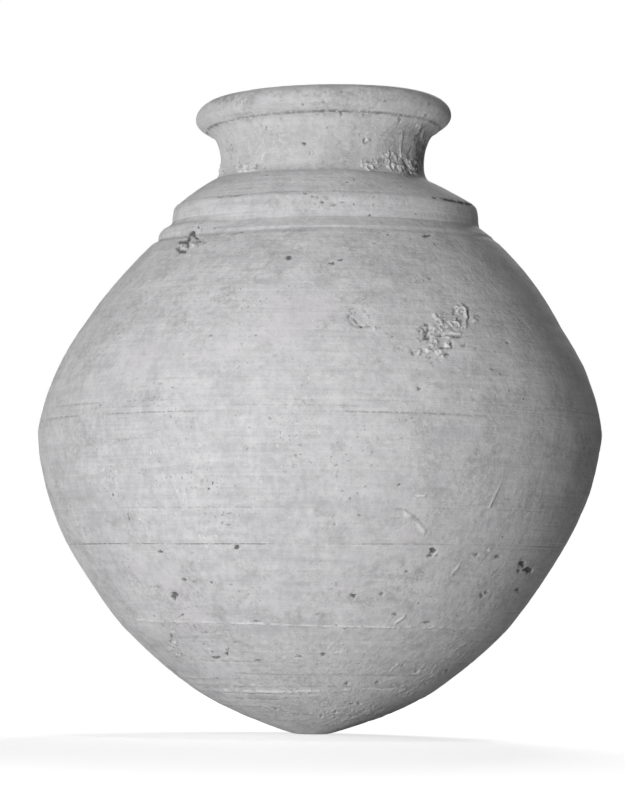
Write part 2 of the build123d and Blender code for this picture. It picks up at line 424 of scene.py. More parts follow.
# The dark of dirt, which also paints shade in pits, crust gaps and hollows, in the grooves under the rim
# and the lower moulding, and on the neck's right side
DIRT_AND_SHADE_GREY = (0.085, 0.085, 0.08, 1)
LIME_WHITE = (0.83, 0.825, 0.825, 1)
# The white of chalk, which also paints light on the foot's front
CHALK_AND_LIGHT_WHITE = (0.82, 0.815, 0.815, 1)
CLAY_PALE = (0.71, 0.705, 0.715, 1)
BODY_DEEP = (0.49, 0.487, 0.5, 1)
BODY_BLUSH = (0.66, 0.635, 0.65, 1)


def clay(name, deep, blush, wash, pale=CLAY_PALE):
    """Coarse fired clay: soft blotches, mottling, level wiping streaks and turning lines, pinholes
    painted dark as their shade, dirt with painted shade in it and chalk with painted light in it,
    from the piece's attributes, and the grain's relief. wash is the streaks' share."""
    material = bpy.data.materials.new(name)
    material.use_nodes = True
    tree = material.node_tree
    tree.nodes.clear()
    place = node(tree, "ShaderNodeTexCoord").outputs["Object"]

    def cloud(scale, detail, stretch=(1, 1, 1), roughness=0.55):
        """A soft noise on the object's coordinates, stretched by a factor for each axis."""
        mapped = node(tree, "ShaderNodeMapping", {"Vector": place, "Scale": stretch}).outputs[0]
        sockets = {"Vector": mapped, "Scale": scale, "Detail": detail, "Roughness": roughness}
        return node(tree, "ShaderNodeTexNoise", sockets).outputs["Fac"]

    def total(parts, start=0.0):
        """start plus the sum of amount times (cloud less its mean of one half)."""
        value = start - 0.5 * sum(amount for _, amount in parts)
        for output, amount in parts:
            value = maths(tree, "MULTIPLY_ADD", output, amount, value)
        return value

    def mixed(share, under, over):
        """One colour laid over another by a share."""
        sockets = {"Factor": share, MIX_UNDER: under, MIX_OVER: over}
        return node(tree, "ShaderNodeMix", sockets, data_type="RGBA").outputs[MIX_RESULT]

    def ranged(value, low, high, to_low=0.0, to_high=1.0):
        """A smooth step from to_low, where the value is low, to to_high, where it is high."""
        sockets = {"Value": value, "From Min": low, "From Max": high, "To Min": to_low, "To Max": to_high}
        made = node(tree, "ShaderNodeMapRange", sockets, interpolation_type="SMOOTHSTEP")
        return made.outputs["Result"]

    def specks(scale, size, crowd, patches):
        """Small ragged spots, one to a cell, where a patchy cloud is high enough: one inside, and
        nought outside."""
        cells = node(tree, "ShaderNodeTexVoronoi", {"Vector": bent, "Scale": scale, "Randomness": 1.0})
        spot = ranged(cells.outputs["Distance"], 0.4 * size, size, 1, 0)
        return maths(tree, "MULTIPLY", spot, ranged(cloud(patches, 3), crowd, crowd + 0.12))

    def broken(attribute, hold):
        """A share from the mesh, torn by fine noise: whole where it is high, and in crumbs where it
        is low."""
        share = node(tree, "ShaderNodeAttribute", attribute_name=attribute).outputs["Fac"]
        torn = ranged(maths(tree, "MULTIPLY_ADD", share, hold, flour), 0.46, 0.62)
        return maths(tree, "MULTIPLY", share, torn)

    blotch = cloud(6, 3)
    mottle = cloud(42, 6, roughness=0.65)
    crumbs = cloud(170, 4, roughness=0.7)
    streak = cloud(1, 5, (13, 13, 130), 0.6)
    thread = cloud(1, 3, (11, 11, 480), 0.6)
    grain = cloud(600, 2, roughness=0.7)
    flour = cloud(270, 4, roughness=0.75)
    wander = node(tree, "ShaderNodeTexNoise", {"Vector": place, "Scale": 260, "Detail": 2})
    sockets = {0: wander.outputs["Color"], 1: (0.006, 0.006, 0.006), 2: place}
    bent = node(tree, "ShaderNodeVectorMath", sockets, operation="MULTIPLY_ADD").outputs[0]
    pinhole = specks(80, 0.14, 0.53, 14)
    chalk = broken("chalk", 0.3)
    streaks = [(streak, 0.5 * wash), (thread, 0.4 * wash)]
    tone = total([(blotch, 0.5), (mottle, 0.9), (crumbs, 0.8), (grain, 0.4)] + streaks, 0.5)
    colour = mixed(ranged(tone, 0.1, 0.9), deep, pale)
    # What lies over the clay's own tones: a share, where it starts and is full, its cover, its colour
    layers = (
        (cloud(11, 2), 0.52, 0.75, 0.45, blush),
        (cloud(34, 7, (1, 1, 1.7), 0.8), 0.53, 0.72, 0.45, SMUT_GREY),
        (specks(190, 0.26, 0.5, 24), 0, 1, 0.5, FLECK_GREY),
        # Pinholes, painted dark as their shade
        (pinhole, 0, 1, 0.7, PINHOLE_SHADE_GREY),
        (specks(150, 0.24, 0.52, 26), 0, 1, 0.6, LIME_WHITE),
        # Chalk, with the painted light on the foot's front in it
        (chalk, 0, 0.9, 1, CHALK_AND_LIGHT_WHITE),
        # Dirt, with painted shade in it
        (broken("dirt", 0.28), 0.03, 0.62, 0.86, DIRT_AND_SHADE_GREY),
    )
    for share, start, full, cover, over in layers:
        colour = mixed(ranged(share, start, full, 0, cover), colour, over)
    reliefs = [(mottle, 1.7), (crumbs, 1.3), (grain, 0.3), (streak, 0.7 * wash), (thread, 0.6 * wash)]
    relief = maths(tree, "MULTIPLY_ADD", pinhole, -1.2, total(reliefs))
    relief = maths(tree, "MULTIPLY_ADD", maths(tree, "MULTIPLY", chalk, flour), 2.5, relief)
    bump = node(tree, "ShaderNodeBump", {"Height": relief, "Strength": 0.8, "Distance": 0.8 * MM})
    sockets = {
        "Base Color": colour,
        "Roughness": ranged(mottle, 0.3, 0.7, 0.8, 0.97),
        "Normal": bump.outputs["Normal"],
        "Specular IOR Level": 0.25,
        "Diffuse Roughness": 0.35,
    }
    surface = node(tree, "ShaderNodeBsdfPrincipled", sockets)
    node(tree, "ShaderNodeOutputMaterial", {"Surface": surface.outputs[0]})
    return material


body_clay = clay("body_clay", BODY_DEEP, BODY_BLUSH, 1)

edges = [(FOOT_FLAT_RADIUS, 0)] + [(drum[0] * MM, drum[1] * MM) for drum in DRUMS.values()]
bulges = [drum[2] * MM for drum in DRUMS.values()]
true_outline, wall_corners = curved([(0, 0)] + edges, [0] + bulges)
wall_edges = np.concatenate([[0], wall_corners[2:]])
wall_outline = eased(true_outline, CORNER_EASE)
wall_outline[-1] = true_outline[-1]


def picked(corners, step, extra=(1, 2, 3)):
    """Rows of a fine outline to keep: evenly about a step apart, and closer beside its corners."""
    kept = [corners]
    for start, end in zip(corners, corners[1:]):
        kept.append(np.linspace(start, end, max(2, round((end - start) * FINE_STEP / step) + 1)))
        kept += [start + np.array(extra), end - np.array(extra)]
    kept = np.unique(np.concatenate(kept).round().astype(int))
    return kept[(kept >= corners[0]) & (kept <= corners[-1])]


# The foot of the lower moulding was smeared down over the wall's top edge, upright and with a
# groove under it: heights, and the radius there, which the wall keeps to where it would be wider.
# It is worn on the right, and all of the wall's last fine steps are kept for it
SMEAR = ((460.2, 170), (462.6, 163.2), (463.9, 158.9), (464.7, 157.5), (466, 158.1), (467.7, 157.8))
SMEAR_EASE = 4.0 * MM
SMEAR_STEPS = 26
SMEAR_WORN = 0.6
# The groove under the moulding's foot, with painted shade laid along it in the dirt share
GROOVE_HEIGHT = 464.2 * MM
GROOVE_SHADE = 0.12
# Towards the flat the wheel's marks fade out over this height
FOOT_SMOOTHED = 12 * MM

smear_rows = np.arange(len(wall_outline) - SMEAR_STEPS, len(wall_outline))
wall_rows = np.union1d(picked(wall_edges, OUTER_STEP), smear_rows)
wall_normals = outward_of(wall_outline)
wall_normals[-END_STEPS:] = (1, 0)
wall = Skin(wall_outline[wall_rows], wall_normals[wall_rows])
from_axis = np.hypot(wall.places[..., 0], wall.places[..., 1]).clip(MM)
to_right = smooth_step(0.5 + 0.8 * wall.places[..., 0] / from_axis)
smear = np.array(SMEAR) * MM
smear_radius = np.interp(wall_outline[:, 1], smear[:, 0], smear[:, 1], left=1)
cut = (1 - smear_radius / wall_outline[:, 0].clip(MM)).clip(0)
cut = eased(cut[:, None], SMEAR_EASE)[wall_rows]
wall.places[..., :2] *= (1 - cut * (1 - SMEAR_WORN * to_right))[..., None]
wall.wheel_marks()
wall.raised *= smooth_step(wall.places[..., 2] / FOOT_SMOOTHED)
for drum, (depth, dirt, chalk) in SCORED.items():
    gap = np.abs(wall_rows - wall_edges[drum_names.index(drum) + 1])[:, None] * FINE_STEP
    share = np.clip(1 - gap / SCORE_HALF_WIDTH, 0, 1) * (1 - SCORE_WORN * to_right)
    fade = 0.6 + 0.4 * smooth_step(0.5 + noise(wall.places, 26 * MM, 31))
    wall.mark(EVERYWHERE, -depth * SCORE_DEPTH * share * fade, dirt * share * fade, chalk * share * fade)

# Pits in the photograph's pixels: column, row, half width, half height, and depth in millimetres
WALL_PITS = (
    (289, 257, 3, 3, 1.4),
    (430, 278, 2.5, 2, 0.9),
    (507, 342, 2, 2, 0.9),
    (419, 388, 2.4, 2.4, 1.2),
    (495, 369, 4.5, 1.4, 0.8),
    (100, 405, 2, 2, 0.8),
    (211, 335, 2.4, 2, 0.9),
    (284, 472, 3, 2, 0.8),
    (128, 518, 1.5, 5, 1.1),
    (228, 525, 6, 1.2, 0.7),
    (160, 552, 4, 2.2, 1.4),
    (237, 547, 2.6, 2.6, 1.6),
    (433, 551, 3, 3.4, 1.9),
    (430, 556, 3, 2, 1.2),
    (438, 556, 2, 2, 1),
    (477, 555, 2.4, 2, 1),
    (488, 551, 2.4, 2, 1),
    (498, 557, 3, 2, 1.2),
    (522, 564, 3.4, 3.4, 2.6),
    (528, 570, 4.5, 3, 2.4),
    (519, 571, 2, 2, 1.4),
    (518, 590, 2.4, 2.4, 1.2),
    (354, 596, 3, 3, 1.5),
    (382, 594, 2.4, 2, 1),
    (395, 615, 3, 2.2, 1),
    (427, 623, 5, 1.4, 1),
    (487, 593, 2.4, 2.4, 1),
    (407, 572, 3, 1.6, 0.8),
    (174.5, 595.5, 3, 3.2, 2.2),
    (174, 599.5, 1.6, 1.8, 1.4),
    (184, 580, 3.4, 2, 1.4),
    (194, 582, 4.5, 1.6, 0.7),
    (213, 582.5, 3, 1.6, 1.2),
    (155, 587, 6, 1.6, 0.6),
    (256.5, 621.5, 3.6, 1.5, 1.2),
    (216, 658.5, 4.6, 2, 1.2),
    (226.6, 654.6, 2, 2.6, 1.5),
    (258, 661, 4, 1.6, 0.9),
    (206, 633, 2.4, 1.6, 0.6),
    (204, 645, 2, 1.8, 0.8),
    (236, 643, 3, 1.5, 0.6),
    (324, 655, 2.8, 2.2, 1.2),
    (299, 656.5, 3.6, 1.8, 1),
    (403, 666, 1.8, 2.6, 0.8),
    (351, 704, 3, 1.6, 0.8),
    (359, 703, 2, 1.6, 0.8),
    (335, 712, 2.4, 1.6, 0.7),
    (322, 716, 2, 1.4, 0.6),
    (276, 709, 2, 1.4, 0.6),
    (284, 712, 2, 1.2, 0.6),
    (447, 671, 1.8, 2.2, 0.7),
    (482, 596, 2, 2.6, 0.9),
    (347, 684, 2.4, 2, 0.9),
    (378, 683, 2.4, 2, 0.9),
    (417, 671, 2.4, 2, 0.9),
    (332, 263, 4, 1.5, 1.2),
    (341, 260, 3.4, 1.5, 1.2),
    (406, 298.5, 1.5, 3, 0.7),
    (392.5, 336, 2, 1.6, 0.8),
    (464, 344.5, 2.4, 2.2, 0.9),
    (476, 348, 2, 2, 0.8),
    (413.5, 352, 2, 3, 1),
    (400, 347, 9, 1.6, 0.5),
    (467, 464, 1.8, 1.8, 0.9),
    (335, 524, 1.8, 1.8, 1),
    (343, 491, 2, 1.6, 0.8),
)
# The chipped place at the foot of the lower moulding: small pits beside the chipped rings
CHIP_PITS = (
    (178, 247.4, 2.2, 2.6, 0.9),
    (188.6, 239.4, 2.2, 2.2, 0.9),
    (185.5, 241.6, 2.2, 1.5, 1.2),
    (191, 232.5, 2.2, 1.8, 1.4),
    (202.5, 239.5, 1.8, 2, 0.8),
    (197.6, 226.5, 1.5, 2.2, 1.2),
    (200, 229.5, 1.6, 1.6, 1),
    (195.3, 221.5, 1.4, 2, 0.6),
    (213, 228, 1.7, 1.7, 0.9),
    (224.5, 227, 1.8, 1.8, 0.9),
    (216, 231, 1.6, 1.2, 0.7),
    (205, 242, 2.2, 1.6, 0.5),
    (427, 235, 4.5, 1.6, 1.3),
)
CHIP_CRUSTS = ((182.4, 245.8, 2.8, 2.4, 0.8), (192.3, 244, 2.4, 3, 0.6), (191, 238, 1.4, 1.8, 0.3))
# A shallow dimple right of the middle, cracked along its lower left edge
DIMPLE = (360, 318, 14, 12, 1.2)
DIMPLE_DIRT = 0.1
# Lime crusts: column, row, half width, half height, and rise in millimetres. They are mostly
# lime: its share, and the size of its crumbs
CRUST_LIME = (0.85, 1.9 * MM)
WALL_CRUSTS = (
    (459, 309, 4.4, 5.5, 1.2),
    (452.5, 325, 5, 6.5, 1.2),
    (459, 325.5, 4.4, 4.5, 1.2),
    (458, 317, 3.4, 4, 0.7),
    (436, 318, 3.2, 5.5, 1.4),
    (435, 330, 3, 4.6, 1.2),
    (441.5, 322, 4, 8.5, 0.8),
    (420, 339.5, 3.8, 3.2, 1.2),
    (434, 343, 5.5, 4.2, 1.8),
    (428, 351, 5, 4, 1.2),
    (438, 352.5, 6.5, 5, 1),
    (447.5, 346.5, 4.5, 5, 0.7),
    (447, 337.2, 5, 1.8, 1.6),
    (475, 320, 3, 4.5, 0.5),
    (419, 352, 3.5, 4, 0.5),
    (349.5, 312.5, 2, 2, 0.4),
    (405.5, 404.5, 2, 1.8, 0.3),
    (491.3, 428.6, 1.8, 1.8, 0.3),
    (547, 456.5, 1.4, 2, 0.3),
    (557.5, 502.5, 1.8, 2, 0.3),
    (571, 520, 1.6, 2.4, 0.3),
    (489, 550, 2.4, 2.4, 0.3),
    (172, 632.5, 3, 3, 0.3),
    (174, 644.5, 3, 4, 0.3),
    (168, 643, 2.4, 3.4, 0.3),
    (178, 655, 4, 2.4, 0.3),
    (374.3, 328, 2, 2.8, 0.6),
)
# Crumbly places on the foot, with only a little lime in them
CRUMBLY_LIME = (0.4, 2.2 * MM)
CRUMBLY_PLACES = (
    (335, 713, 20, 6, 0.35),
    (372, 708, 14, 8, 0.35),
    (275, 708, 18, 6, 0.3),
    (398, 690, 14, 8, 0.35),
    (425, 674, 12, 8, 0.35),
    (452, 652, 10, 8, 0.3),
    (180, 652, 12, 10, 0.3),
    (340, 650, 8, 6, 0.25),
)
# Hollows between the crusts, darkened with dirt and painted shade
HOLLOW_DIRT_AND_SHADE = 0.5
CRUST_HOLLOWS = (
    (425.5, 330, 5.4, 8.6, 1.5),
    (428, 337.5, 3, 2.6, 1.6),
    (440.5, 335.4, 3.2, 2, 1.6),
    (443.5, 347.5, 3, 3, 1.2),
    (451.5, 344.5, 1.6, 4.5, 1.4),
    (446, 354, 4.5, 1.6, 1),
    (458, 319, 2.4, 2, 1.3),
    (454.5, 311, 1.6, 4, 1),
    (456.5, 336.6, 6, 1.4, 1.4),
    (468.5, 316, 1.4, 9, 1),
    (430, 356.5, 4, 1.4, 1.1),
)
# Scratches, cracks and smears: path and half width in pixels, depth in millimetres, dirt, chalk
WALL_LINES = (
    (((460.5, 305), (464.8, 310), (466.6, 318), (465, 327)), 1.8, -1.5, 0, 0.85),
    (((449, 333), (459.5, 334.6)), 1.6, -1.2, 0, 0.85),
    (((455, 322), (461.5, 327), (466, 320)), 1.5, -0.9, 0, 0.7),
    (((349, 315), (352.5, 317), (355.5, 320.3), (358, 323), (361.5, 326)), 1.7, 1.7, 1, 0),
    (((348, 317.5), (350, 320.5), (352.5, 322.8)), 1.6, 1.2, 0.6, 0),
    (((351, 312), (356, 311.5)), 1.6, 0.9, 0.5, 0),
    (((361, 326), (370, 325.4)), 1.5, 0.6, 0.45, 0),
    (((349, 310), (354, 307.5), (359, 307), (366, 311)), 2, 0.5, 0.3, 0),
    (((60, 477), (140, 468), (218, 459)), 1.8, 0, 0, 0.4),
    (((230, 505), (262, 499), (300, 495)), 2.6, 0, 0, 0.35),
    (((110, 444), (136, 437), (162, 429)), 1.6, 0.25, 0.26, 0),
    (((395, 508.5), (404, 509.5), (415, 516.5), (422, 523)), 1.6, 0.4, 0.34, 0),
    (((406, 514), (416, 521), (424, 532)), 3, -0.3, 0, 0.85),
    (((399, 516), (404, 520)), 2.4, -0.3, 0, 0.85),
    (((443, 502.5), (457, 503), (485, 506), (502, 504), (512, 503), (519, 506)), 1.7, 0.25, 0.26, 0),
    (((519, 506), (535, 508), (552, 505.5), (568, 506.5)), 1.7, 0.25, 0.26, 0),
    (((507, 495.5), (515, 498), (521, 505)), 1.6, 0.2, 0.24, 0),
    (((523, 510), (523, 535), (522, 560)), 1.6, 0.15, 0.22, 0),
    (((416, 496), (425, 496)), 1.8, -0.2, 0, 0.85),
    (((502, 481), (496, 494), (489.5, 507.5)), 1.6, -0.2, 0, 0.7),
    (((461, 563), (452, 575)), 1.8, -0.2, 0, 0.6),
    (((404, 567), (460, 566), (514, 568)), 1.5, 0, 0, 0.35),
    (((137, 620), (154, 621.6), (200, 622.5), (260, 623.5)), 1.7, -0.15, 0, 0.7),
    (((260, 623.8), (310, 625.6), (390, 627.6), (470, 628.2), (491, 628)), 1.7, -0.15, 0, 0.65),
    (((172.5, 620), (174, 624.5), (177.5, 628.7), (173, 629.6), (168.6, 626)), 1.4, 0.5, 0.32, 0),
    (((178.5, 618), (183, 615)), 1.4, 0.6, 0.55, 0),
    (((187.3, 623.4), (189.5, 628.7)), 1.4, 0.5, 0.35, 0),
    (((170.8, 636), (170.4, 641)), 1.4, 0.8, 0.7, 0),
    (((176.6, 638.6), (178.4, 646.6), (183, 651)), 1.4, 0.5, 0.32, 0),
    (((174, 651), (166.8, 652.9)), 1.4, 0.3, 0.28, 0),
    (((193.6, 642), (197, 637), (200, 639)), 1.4, 0.4, 0.28, 0),
    (((228, 649), (227, 654)), 1.2, 0.4, 0.45, 0),
    (((203, 688), (260, 686.5), (330, 686.5), (407, 688)), 1.5, 0.2, 0.3, 0),
    (((192, 683.5), (225, 685), (255, 685.5)), 1.6, -0.2, 0, 0.6),
    (((216, 690.5), (270, 691.5), (319, 691)), 2, -0.25, 0, 0.85),
    (((342, 690), (375, 689.5), (404, 690.5)), 1.8, -0.2, 0, 0.75),
    (((396, 613), (391, 622)), 1.6, 0.6, 0.5, 0),
    (((396, 623), (404, 617.5)), 1.8, -0.3, 0, 0.85),
    (((391, 671), (398, 664)), 1.6, -0.2, 0, 0.7),
    (((405, 667), (416, 660), (425, 655)), 1.5, 0.3, 0.25, 0),
    (((450, 655), (461, 647), (470, 641)), 1.5, -0.2, 0, 0.5),
    (((327, 650), (333, 643), (337, 641)), 1.5, -0.2, 0, 0.6),
    (((236, 681), (246, 673)), 1.5, 0.3, 0.3, 0),
    (((345, 703), (356, 699)), 1.5, 0.3, 0.3, 0),
    (((343, 720), (356, 717), (370, 712)), 1.8, -0.2, 0, 0.6),
    (((222, 515), (232, 513)), 1.6, 0.4, 0.5, 0),
    (((216, 233.5), (229, 233.6), (243, 231.8)), 1.6, 0.3, 0.42, 0),
)
# The chipped rings at the foot of the lower moulding, left of its front
CHIP_LINES = (
    (((176.4, 244.6), (176.2, 248), (179.4, 250.8), (184.2, 250.6)), 2.1, 1.3, 0.75, 0),
    (((179.5, 241.6), (184, 240.6), (187.2, 243), (187.4, 247)), 2, 1.2, 0.7, 0),
    (((186.8, 241), (188.4, 236.4), (191.2, 231.4), (194.4, 235.4), (199.3, 240.6)), 1.9, 1.5, 0.75, 0),
    (((194.6, 235.8), (196, 240.5), (197.5, 245.4)), 1.5, 1, 0.5, 0),
    (((201, 238), (204.5, 241), (203, 243.5)), 1.5, 0.6, 0.35, 0),
)
# Turning lines: row at the jar's middle, half width and depth in millimetres, dirt, chalk
WALL_RINGS = (
    (399, 1.6, 0.25, 0.36, 0),
    (405, 1.4, 0.2, 0.3, 0),
    (411, 1.6, 0.3, 0.45, 0),
    (437, 1.6, 0.2, 0.22, 0),
    (330, 1.6, 0.2, 0.1, 0),
    (460, 1.5, -0.2, 0, 0.2),
    (489, 1.5, 0.2, 0.15, 0),
    (507, 1.6, 0.3, 0.3, 0),
    (539, 1.4, -0.25, 0, 0.4),
    (588, 1.5, 0.25, 0.25, 0),
    (611, 1.5, 0.3, 0.3, 0),
    (640, 1.5, 0.3, 0.32, 0),
    (652, 1.5, -0.25, 0, 0.5),
    (663, 1.5, 0.35, 0.34, 0),
    (675, 1.5, 0.35, 0.38, 0),
    (681, 1.5, -0.3, 0, 0.5),
    (700, 1.5, 0.35, 0.38, 0),
    (707, 1.5, -0.3, 0, 0.5),
    (715, 1.5, 0.35, 0.36, 0),
    (722, 1.5, 0.3, 0.3, 0),
)


def pitted(skin, pits):
    """Presses the pits of a table into a face, darkened with dirt and painted shade. A deeper one gets
    more of both.
    """
    for number, (*oval, depth) in enumerate(pits):
        spot = skin.spot(*oval, RAGGED_PIT, 100 + number)
        skin.pit(spot, depth * MM, min(1, 0.15 + 0.3 * depth))


def crusted(skin, crusts, chalk, crumb, seed):
    """Lays the lime crusts of a table on a face."""
    for number, (*oval, rise) in enumerate(crusts):
        spot = skin.spot(*oval, RAGGED_CRUST, seed + number)
        skin.crust(spot, rise * MM, chalk, crumb, seed + number)


def scratched(skin, lines, seed):
    """Draws the scratches, cracks and smears of a table on a face."""
    for number, (path, half_width, depth, dirt, chalk) in enumerate(lines):
        skin.line(path, half_width, depth * MM, dirt, chalk, seed + number)


wall.look()
pitted(wall, WALL_PITS + CHIP_PITS)
# The dimple holds a little dirt, and the hollows between the crusts get dirt and painted shade
for number, (*oval, depth) in enumerate((DIMPLE, *CRUST_HOLLOWS)):
    spot = wall.spot(*oval, RAGGED_PIT, 180 + number)
    wall.pit(spot, depth * MM, HOLLOW_DIRT_AND_SHADE if number else DIMPLE_DIRT)
crusted(wall, CRUMBLY_PLACES, *CRUMBLY_LIME, 260)
crusted(wall, WALL_CRUSTS + CHIP_CRUSTS, *CRUST_LIME, 200)
scratched(wall, WALL_LINES + CHIP_LINES, 300)
# Painted shade along the groove under the lower moulding
wall.turning_line(GROOVE_HEIGHT, 1.0 * MM, 0, GROOVE_SHADE, 0, 399)
front = COLUMNS // 2
for number, (row, half_width, depth, dirt, chalk) in enumerate(WALL_RINGS):
    height = np.interp(-row, -wall.pixels[:, front, 1], wall.places[:, front, 2])
    wall.turning_line(height, half_width * MM, depth * MM, dirt, chalk, 400 + number)

# The same kinds of wear on the side that the photograph doesn't show
BACK_PITS = 70
BACK_CRUSTS = 5
BACK_TURN = 1.45
BACK_MILLIMETRES = (1.6, 4.2)
BACK_LIME = (0.7, 2.5 * MM)
BACK_SEED = 500
chance = np.random.default_rng(5)
for number in range(BACK_SEED, BACK_SEED + BACK_PITS + BACK_CRUSTS):
    turn = math.pi + chance.uniform(-BACK_TURN, BACK_TURN)
    row = chance.integers(len(wall_outline) // 8, len(wall_outline) - 20)
    radius, height = wall_outline[row]
    centre = np.array((radius * math.sin(turn), -radius * math.cos(turn), height))
    size = chance.uniform(*BACK_MILLIMETRES) * MM
    if number < BACK_SEED + BACK_PITS:
        hollow = wall.patch(centre, size * chance.uniform(1, 2), size, RAGGED_PIT, number)
        wall.pit(hollow, 0.35 * size, chance.uniform(0.3, 0.8))
    else:
        lump = wall.patch(centre, 2.6 * size, 2 * size, RAGGED_CRUST, number)
        wall.crust(lump, 1.2 * MM, *BACK_LIME, number)

# Soil in the clay's skin, with painted light: less of it on the belly's and the foot's front,
# where the light falls most, and the foot's front painted paler. The ovals are in pixels, the rest are
# shares
WALL_SOIL = 0.21
LIT_BELLY_OVAL = (255, 450, 175, 132)
LIT_BELLY_SOIL_OFF = 0.75
LIT_FOOT_OVAL = (318, 676, 92, 44)
LIT_FOOT_SOIL_OFF = 0.6
LIT_FOOT_PAINTED_PALENESS = 0.3


def soiled(skin, amount, seed):
    """A patchy, weak share of dirt: a noise of 22 mm lumps and one of 7 mm through a smooth step."""
    lumps = noise(skin.places, 22 * MM, seed) + 0.6 * noise(skin.places, 7 * MM, seed + 1)
    return amount * smooth_step(0.45 + 0.9 * lumps)


soil = soiled(wall, WALL_SOIL, 51)
# Painted light: less soil where the belly's front is lit most
near, painted_belly_light = wall.spot(*LIT_BELLY_OVAL, RAGGED_PAINTED_LIGHT, 52)
soil[near] *= 1 - LIT_BELLY_SOIL_OFF * painted_belly_light
near, painted_foot_light = wall.spot(*LIT_FOOT_OVAL, RAGGED_PAINTED_LIGHT, 53)
soil[near] *= 1 - LIT_FOOT_SOIL_OFF * painted_foot_light
# The foot's front painted paler in the chalk share
wall.mark(near, 0, 0, LIT_FOOT_PAINTED_PALENESS * painted_foot_light)
wall.mark(EVERYWHERE, 0, soil)
outside = wall.pressed()

# The inside of the wall, thrown with the fingers: a low spiral of ridges, which starts above the
# floor, soft lumps, and a little dust
RIDGE_PITCH = 17 * MM
RIDGE_RISE = 0.7 * MM
RIDGES_FULL = 90 * MM
INNER_DUST = 0.12
inner_edges = [(0, FLOOR_THICKNESS)] + [(drum[3] * MM, drum[4] * MM) for drum in DRUMS.values()]
true_inner, inner_corners = curved(inner_edges, [FLOOR_BULGE] + bulges[1:])
inner_rows = picked(inner_corners, INNER_STEP, extra=())
inner_outline = eased(true_inner, CORNER_EASE)
inner_outline[-1] = true_inner[-1]


def finger_ridges(skin):
    """Raises a spiral of finger ridges, a cosine of height over pitch plus turns round the axis."""
    turns = np.arctan2(skin.places[..., 0], -skin.places[..., 1]) / (2 * np.pi)
    spiral = np.cos(2 * np.pi * (skin.places[..., 2] / RIDGE_PITCH + turns))
    skin.raised += RIDGE_RISE * spiral * smooth_step(skin.places[..., 2] / RIDGES_FULL)
    skin.raised += 0.6 * MM * noise(skin.places, 45 * MM, 41) + 0.2 * MM * noise(skin.places, 9 * MM, 42)


def dusty(skin):
    """Adds dust that is a little thicker and thinner in places 60 mm wide."""
    skin.dirt += INNER_DUST + 0.1 * noise(skin.places, 60 * MM, 43)


inner_normals = -outward_of(inner_outline)
inner_normals[-END_STEPS:] = (-1, 0)
inner_wall = Skin(inner_outline[inner_rows], inner_normals[inner_rows])
finger_ridges(inner_wall)
dusty(inner_wall)
inside = inner_wall.pressed()

outer_at = np.searchsorted(wall_rows, wall_edges)
inner_at = np.searchsorted(inner_rows, inner_corners)
for number, name in enumerate(drum_names):
    up_outside = outside[outer_at[number] : outer_at[number + 1] + 1]
    down_inside = inside[inner_at[number] : inner_at[number + 1] + 1][::-1]
    runs = [up_outside, bridged(up_outside[-1], down_inside[0]), down_inside]
    if number:
        runs.append(bridged(down_inside[-1], up_outside[0]))
    drum = ring_piece("clay_" + name, runs, body_clay, poles=not number)
    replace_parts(drum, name)


# The shoulder cap: the straight cone of clay that closes the jar in to the throat. The two bands
# and the neck sit on it, so only its inside shows, through the mouth.
THROAT_RADIUS = 83 * MM
CAP_SEAT = (97.5 * MM, 514.7 * MM)
CAP_INNER = (THROAT_RADIUS, 512.2 * MM)


def face(outline, step, inward=False):
    """A turned face of a piece that stands on others. Near both of its ends the clay is raised
    only outwards from the axis, so that it meets the next piece's clay without a gap."""
    side = -1 if inward else 1
    normals = side * outward_of(outline)
    ends = np.arange(len(outline))
    near = np.clip(np.minimum(ends, ends[::-1]) / END_STEPS, 0, 1)[:, None]
    normals = normals * near + np.array((side, 0)) * (1 - near)
    normals /= np.hypot(normals[:, 0], normals[:, 1])[:, None]
    rows = picked(np.array((0, len(outline) - 1)), step, extra=())
    return Skin(outline[rows], normals[rows])


cap_inside = face(bowed(inner_edges[-1], CAP_INNER, 0), INNER_STEP, inward=True)
finger_ridges(cap_inside)
dusty(cap_inside)
cap_under = cap_inside.pressed()
cap_top = face(bowed(wall_outline[-1], CAP_SEAT, 0), INNER_STEP)
cap_top.wheel_marks()
cap_top.raised[0] = wall.raised[-1]
cap_over = cap_top.pressed()
cap_ends = bridged(cap_over[-1], cap_under[-1]), bridged(cap_under[0], cap_over[0])
runs = [cap_over, cap_ends[0], cap_under[::-1], cap_ends[1]]
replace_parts(ring_piece("clay_shoulder_cap", runs, body_clay), "shoulder_cap")


# The lower moulding: a small band of clay pressed on over the join of shoulder and cap. It is
# crisp on the left, and rubbed down almost into the shoulder on the right.
BAND_STEP = 1.0 * MM
LOWER_CREST = (156.6 * MM, 473.2 * MM)
LOWER_SHELF = (152.6 * MM, 477.4 * MM)
ROOT = (144.9 * MM, 483.7 * MM)
LOWER_BULGES = (0.6 * MM, 0.3 * MM, -0.9 * MM)
CRISP_EASE = 1.2 * MM
WORN_FLARE = (149.4 * MM, 472.3 * MM)
WORN_FACE = (145.9 * MM, 476.6 * MM)
WORN_BULGES = (-1.2 * MM, -0.5 * MM, 0)
WORN_LOWER_EASE = 2.5 * MM
# Between which sines of the turn round the axis the band goes over from crisp to worn
LOWER_WORN = (-0.85, -0.4)
WORN_LINE_HEIGHT = 481.2 * MM
BAND_SOIL = 0.17
# The height of the band's root on the cap, as a share of the way to the neck's seat
ROOT_SHARE = 0.2144
BAND_DEEP = (0.5, 0.497, 0.51, 1)
BAND_BLUSH = (0.66, 0.64, 0.655, 1)

band_clay = clay("band_clay", BAND_DEEP, BAND_BLUSH, 1.3)


def softened(outline, reach):
    """An outline eased within reach, with its two ends kept where they were."""
    soft = eased(outline, reach)
    soft[[0, -1]] = outline[[0, -1]]
    return soft


